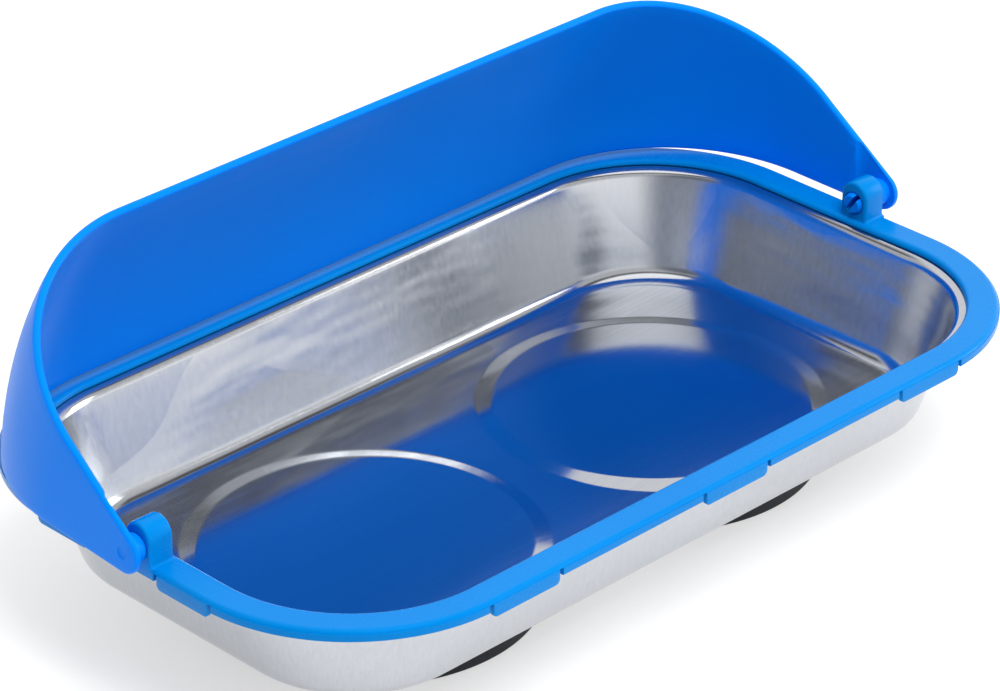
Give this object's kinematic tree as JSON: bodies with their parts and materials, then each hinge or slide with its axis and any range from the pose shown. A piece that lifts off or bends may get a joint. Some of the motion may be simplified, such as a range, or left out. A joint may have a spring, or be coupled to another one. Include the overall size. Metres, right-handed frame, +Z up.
{
  "type": "magnetic parts tray",
  "caption": "Shallow stadium-shaped pressed steel tray with magnets underneath, a clipped-on plastic rim frame and a hinged plastic splash guard that swings over it.",
  "frame": {"origin": "centre of the rim frame's outline, on the table plane under the magnet covers", "axes": "+X along the tray's long axis to its right end, +Y to the back where the splash guard's wall stands, +Z up"},
  "size_m": [0.2598, 0.1474, 0.0955],
  "materials": {
    "bowl_steel": "bright pressed stainless steel sheet, near-mirror on the floor, fine drawn grain on the walls",
    "blue_plastic": "semi-gloss moulded blue plastic",
    "guard_plastic": "satin moulded blue plastic with a fine grain",
    "cover_plastic": "matte charcoal moulded cover",
    "plate_steel": "plain zinc-plated steel, hidden inside the cover",
    "ferrite": "dark sintered ferrite, hidden inside the cover",
    "pad_foam": "off-white adhesive foam, hidden under the tray"
  },
  "bodies": {
    "tray": {"steel_bowl": "bowl_steel", "rim_frame": "blue_plastic", "magnet_cover_left": "cover_plastic", "pole_plate_left": "plate_steel", "ring_magnet_left": "ferrite", "adhesive_pad_left": "pad_foam", "magnet_cover_right": "cover_plastic", "pole_plate_right": "plate_steel", "ring_magnet_right": "ferrite", "adhesive_pad_right": "pad_foam"},
    "guard": {"splash_guard": "guard_plastic"}
  },
  "joints": [
    {"name": "guard_hinge", "type": "hinge", "parent": "tray", "child": "guard", "pos_m": [0, -0.006, 0.047], "axis": [1, 0, 0], "range_deg": [-0.5, 178]}
  ]
}
